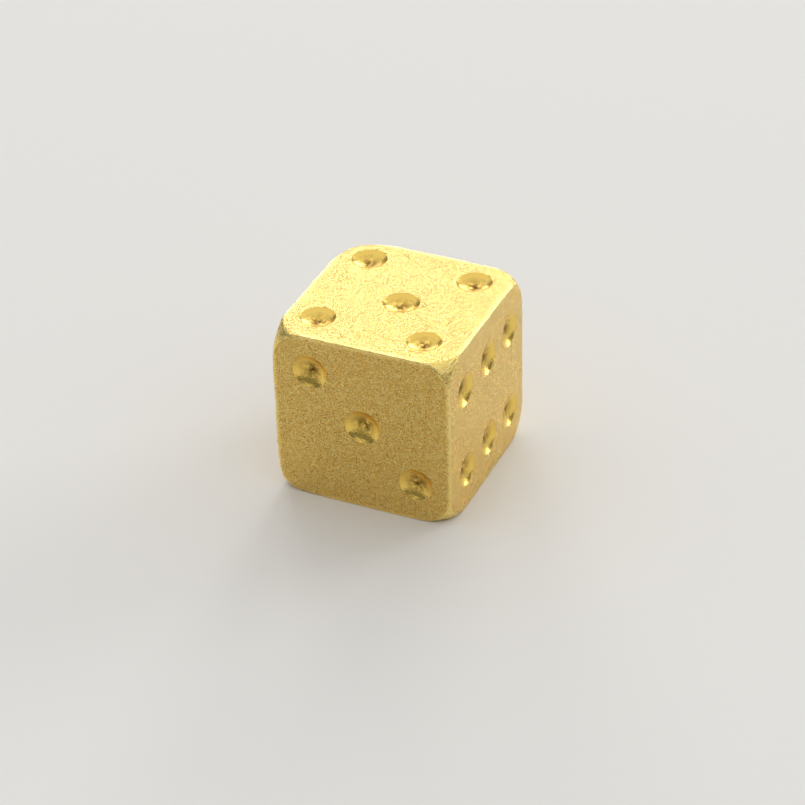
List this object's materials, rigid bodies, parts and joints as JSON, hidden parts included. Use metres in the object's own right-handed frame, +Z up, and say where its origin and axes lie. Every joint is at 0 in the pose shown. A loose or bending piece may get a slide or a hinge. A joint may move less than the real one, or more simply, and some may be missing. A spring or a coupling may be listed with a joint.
{
  "type": "gaming die",
  "caption": "Small solid metal die: a cube with rounded corners and a shallow dished hollow for each pip.",
  "frame": {"origin": "middle of the face that the die stands on, the one with two pips", "axes": "+Z up, out of the face with five pips; +X out of the face with six pips; -Y out of the face with three pips"},
  "size_m": [0.005, 0.005, 0.005],
  "materials": {
    "gold": "gold-coloured metal, flats matte and finely grained, pips smooth"
  },
  "bodies": {
    "root": {"die_body": "gold"}
  },
  "joints": []
}
